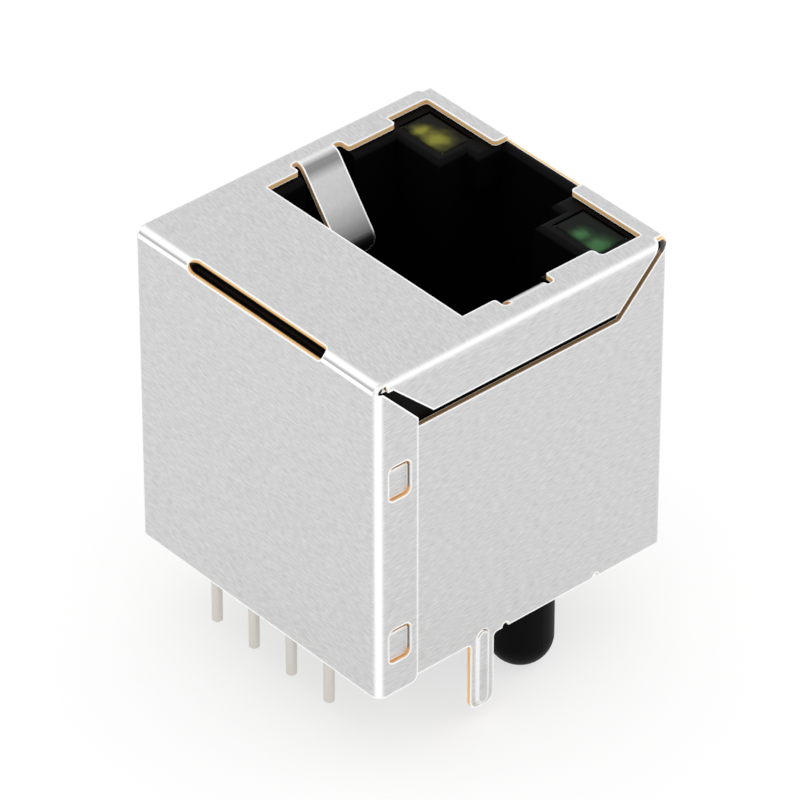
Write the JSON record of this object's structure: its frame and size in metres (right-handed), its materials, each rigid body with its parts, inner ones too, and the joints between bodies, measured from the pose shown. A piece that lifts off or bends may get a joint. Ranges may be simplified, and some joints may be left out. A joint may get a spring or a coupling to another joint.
{
  "type": "vertical shielded modular jack",
  "caption": "Shielded top-entry network jack for a circuit board, with a latching plug port, indicator lamps, signal pins, locating pegs and built-in magnetics.",
  "frame": {"origin": "middle of the footprint, on the surface of the circuit board", "axes": "+Z away from the board and out of the port, +X across the port, +Y from the magnetics side to the latch side"},
  "size_m": [0.0162, 0.017, 0.021],
  "materials": {
    "shield_metal": "fine brushed plating",
    "housing_plastic": "satin",
    "contact_gold": "polished",
    "board_laminate": "satin",
    "pin_tin": "satin tin",
    "core_ferrite": "matte",
    "winding_copper": "enamelled",
    "resistor_black": "satin",
    "capacitor_tan": "satin",
    "lamp_yellow_resin": "clear tinted",
    "lamp_green_resin": "clear tinted"
  },
  "bodies": {
    "root": {"front_shield": "shield_metal", "rear_shield": "shield_metal", "housing": "housing_plastic", "base_plate": "housing_plastic", "contact_carrier": "housing_plastic", "coil_case": "housing_plastic", "contact_1": "contact_gold", "contact_2": "contact_gold", "contact_3": "contact_gold", "contact_4": "contact_gold", "contact_5": "contact_gold", "contact_6": "contact_gold", "contact_7": "contact_gold", "contact_8": "contact_gold", "magnetics_board": "board_laminate", "signal_pin_1": "pin_tin", "signal_pin_2": "pin_tin", "signal_pin_3": "pin_tin", "signal_pin_4": "pin_tin", "signal_pin_5": "pin_tin", "signal_pin_6": "pin_tin", "signal_pin_7": "pin_tin", "signal_pin_8": "pin_tin", "choke_1_core": "core_ferrite", "choke_1_winding": "winding_copper", "choke_2_core": "core_ferrite", "choke_2_winding": "winding_copper", "transformer_1_core": "core_ferrite", "transformer_1_winding": "winding_copper", "transformer_2_core": "core_ferrite", "transformer_2_winding": "winding_copper", "resistor_1": "resistor_black", "resistor_2": "resistor_black", "resistor_3": "resistor_black", "resistor_4": "resistor_black", "capacitor": "capacitor_tan", "lamp_yellow": "lamp_yellow_resin", "lamp_green": "lamp_green_resin", "lamp_yellow_inner_lead": "pin_tin", "lamp_yellow_outer_lead": "pin_tin", "lamp_green_inner_lead": "pin_tin", "lamp_green_outer_lead": "pin_tin"}
  },
  "joints": []
}
